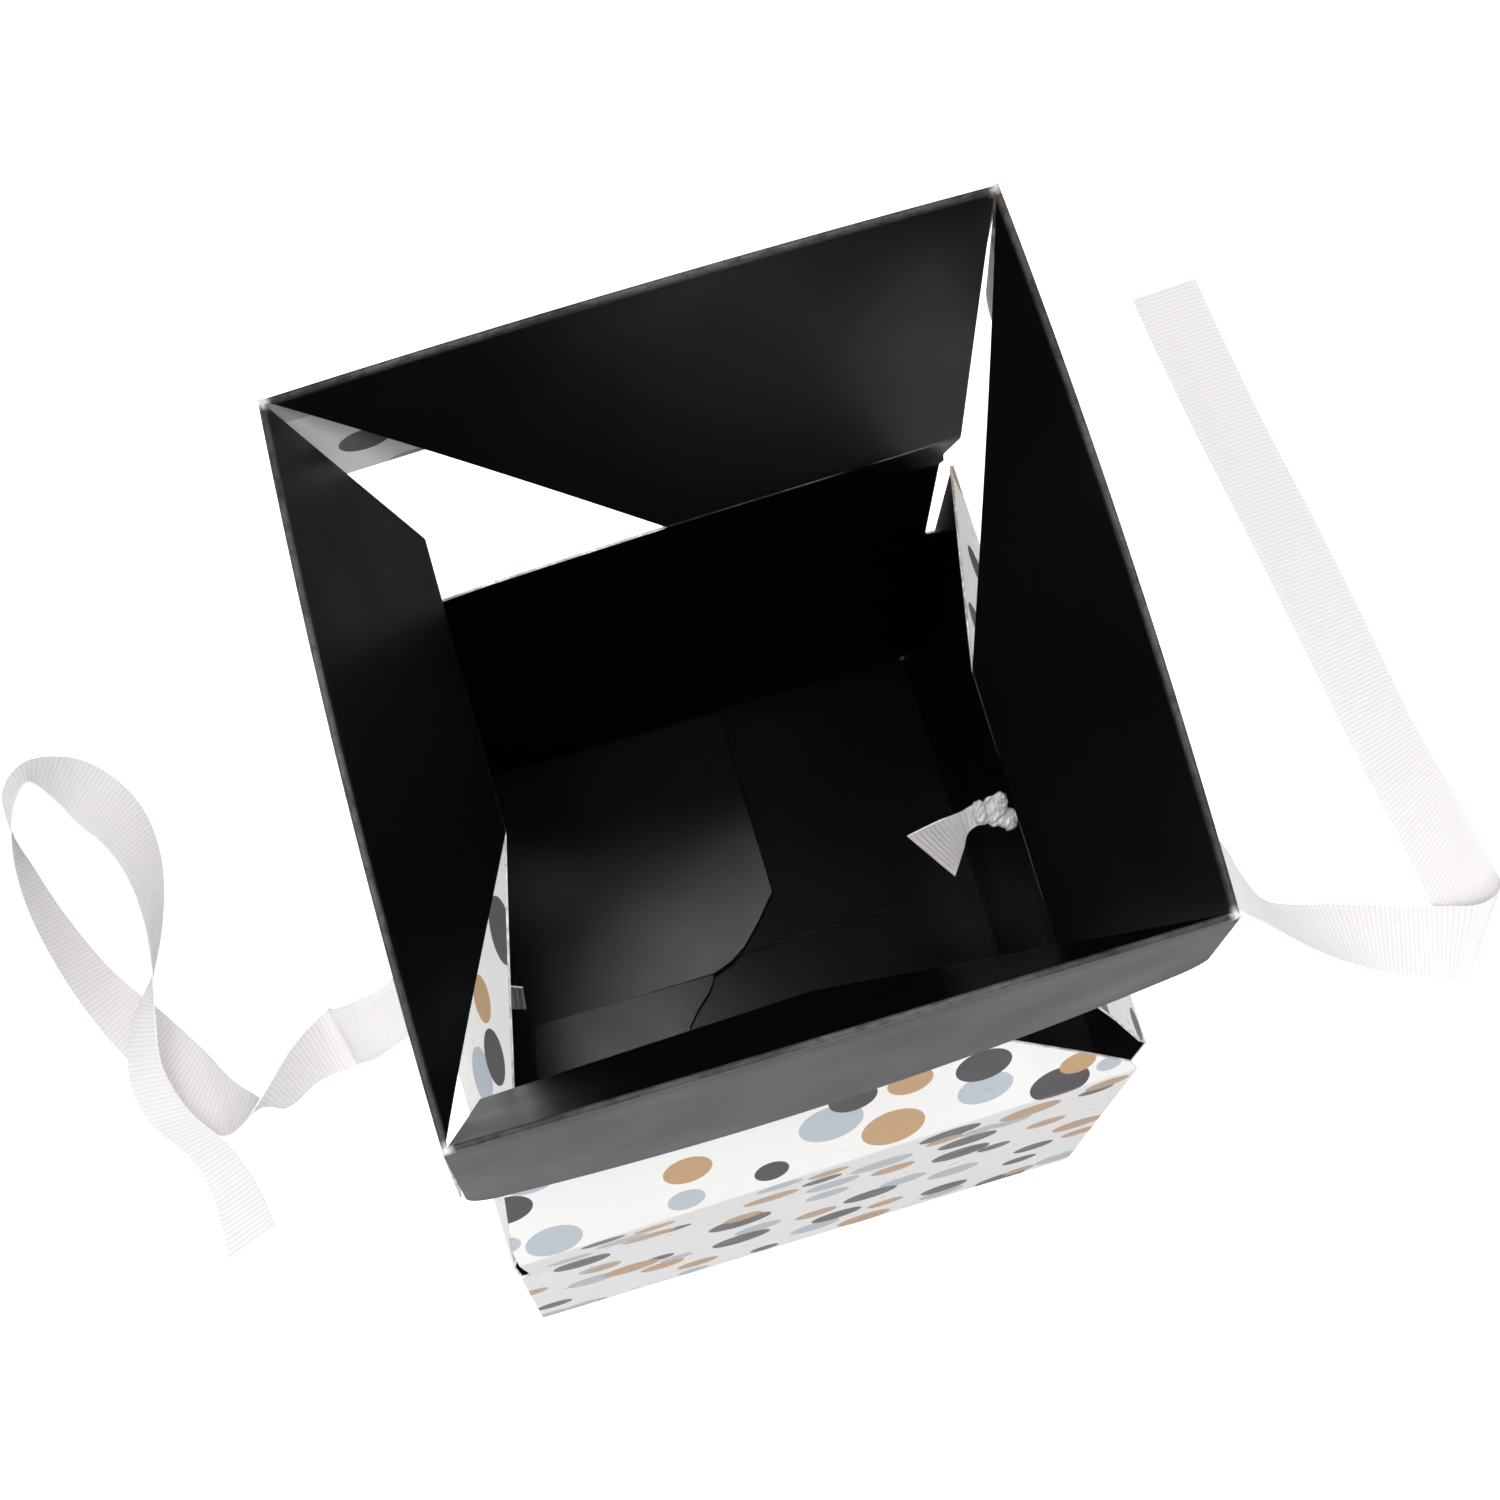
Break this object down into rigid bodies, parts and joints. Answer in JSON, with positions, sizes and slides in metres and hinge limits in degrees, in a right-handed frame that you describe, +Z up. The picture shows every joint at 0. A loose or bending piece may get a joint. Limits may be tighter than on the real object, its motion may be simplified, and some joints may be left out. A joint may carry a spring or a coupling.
{
  "type": "explosion box",
  "caption": "Square card gift box with folding shoulders, flares and cuffs that open to an hourglass, tied through two side slits with ribbons.",
  "frame": {"origin": "centre of the box's base, on the surface it stands on", "axes": "+Z up, +Y towards the back wall, +X towards the right wall"},
  "size_m": [0.3154, 0.191, 0.2243],
  "materials": {
    "printed_card": "white coated card printed outside with plain round dots in gold, blue-grey and charcoal, black inside",
    "black_card": "satin black card with white raw edges",
    "ribbon_cloth": "white grosgrain with fine cross ribs"
  },
  "bodies": {
    "base": {"wall_back": "printed_card", "wall_left": "printed_card", "wall_front": "printed_card", "wall_right": "printed_card", "glue_flap": "black_card", "bottom_flap_back": "black_card", "bottom_flap_left": "black_card", "bottom_flap_front": "black_card", "bottom_flap_right": "black_card", "ribbon_right": "ribbon_cloth", "ribbon_left": "ribbon_cloth", "knot_right": "ribbon_cloth", "knot_left": "ribbon_cloth", "ribbon_tail_right": "ribbon_cloth", "ribbon_tail_left": "ribbon_cloth"},
    "shoulder_back": {"shoulder_back": "printed_card"},
    "flare_back": {"flare_back": "black_card"},
    "cuff_back": {"cuff_back": "black_card"},
    "shoulder_left": {"shoulder_left": "printed_card"},
    "flare_left": {"flare_left": "black_card"},
    "cuff_left": {"cuff_left": "black_card"},
    "shoulder_front": {"shoulder_front": "printed_card"},
    "flare_front": {"flare_front": "black_card"},
    "cuff_front": {"cuff_front": "black_card"},
    "shoulder_right": {"shoulder_right": "printed_card"},
    "flare_right": {"flare_right": "black_card"},
    "cuff_right": {"cuff_right": "black_card"}
  },
  "joints": [
    {"name": "fold_back", "type": "hinge", "parent": "base", "child": "shoulder_back", "pos_m": [0, 0.05955, 0.108], "axis": [1, 0, 0], "range_deg": [-11, 57]},
    {"name": "neck_back", "type": "hinge", "parent": "shoulder_back", "child": "flare_back", "pos_m": [0, 0.04244, 0.16551], "axis": [1, 0, 0], "range_deg": [-114, 22]},
    {"name": "rim_back", "type": "hinge", "parent": "flare_back", "child": "cuff_back", "pos_m": [0, 0.06042, 0.22432], "axis": [1, 0, 0], "range_deg": [-11, 57]},
    {"name": "fold_left", "type": "hinge", "parent": "base", "child": "shoulder_left", "pos_m": [-0.05955, 0, 0.108], "axis": [0, 1, 0], "range_deg": [-11, 57]},
    {"name": "neck_left", "type": "hinge", "parent": "shoulder_left", "child": "flare_left", "pos_m": [-0.04244, 0, 0.16551], "axis": [0, 1, 0], "range_deg": [-114, 22]},
    {"name": "rim_left", "type": "hinge", "parent": "flare_left", "child": "cuff_left", "pos_m": [-0.06042, 0, 0.22432], "axis": [0, 1, 0], "range_deg": [-11, 57]},
    {"name": "fold_front", "type": "hinge", "parent": "base", "child": "shoulder_front", "pos_m": [0, -0.05955, 0.108], "axis": [-1, 0, 0], "range_deg": [-11, 57]},
    {"name": "neck_front", "type": "hinge", "parent": "shoulder_front", "child": "flare_front", "pos_m": [0, -0.04244, 0.16551], "axis": [-1, 0, 0], "range_deg": [-114, 22]},
    {"name": "rim_front", "type": "hinge", "parent": "flare_front", "child": "cuff_front", "pos_m": [0, -0.06042, 0.22432], "axis": [-1, 0, 0], "range_deg": [-11, 57]},
    {"name": "fold_right", "type": "hinge", "parent": "base", "child": "shoulder_right", "pos_m": [0.05955, 0, 0.108], "axis": [0, -1, 0], "range_deg": [-11, 57]},
    {"name": "neck_right", "type": "hinge", "parent": "shoulder_right", "child": "flare_right", "pos_m": [0.04244, 0, 0.16551], "axis": [0, -1, 0], "range_deg": [-114, 22]},
    {"name": "rim_right", "type": "hinge", "parent": "flare_right", "child": "cuff_right", "pos_m": [0.06042, 0, 0.22432], "axis": [0, -1, 0], "range_deg": [-11, 57]}
  ],
  "couplings": [
    {"joint": "neck_back", "follows": "fold_back", "ratio": -2},
    {"joint": "rim_back", "follows": "fold_back", "ratio": 1},
    {"joint": "fold_left", "follows": "fold_back", "ratio": 1},
    {"joint": "neck_left", "follows": "fold_back", "ratio": -2},
    {"joint": "rim_left", "follows": "fold_back", "ratio": 1},
    {"joint": "fold_front", "follows": "fold_back", "ratio": 1},
    {"joint": "neck_front", "follows": "fold_back", "ratio": -2},
    {"joint": "rim_front", "follows": "fold_back", "ratio": 1},
    {"joint": "fold_right", "follows": "fold_back", "ratio": 1},
    {"joint": "neck_right", "follows": "fold_back", "ratio": -2},
    {"joint": "rim_right", "follows": "fold_back", "ratio": 1}
  ]
}
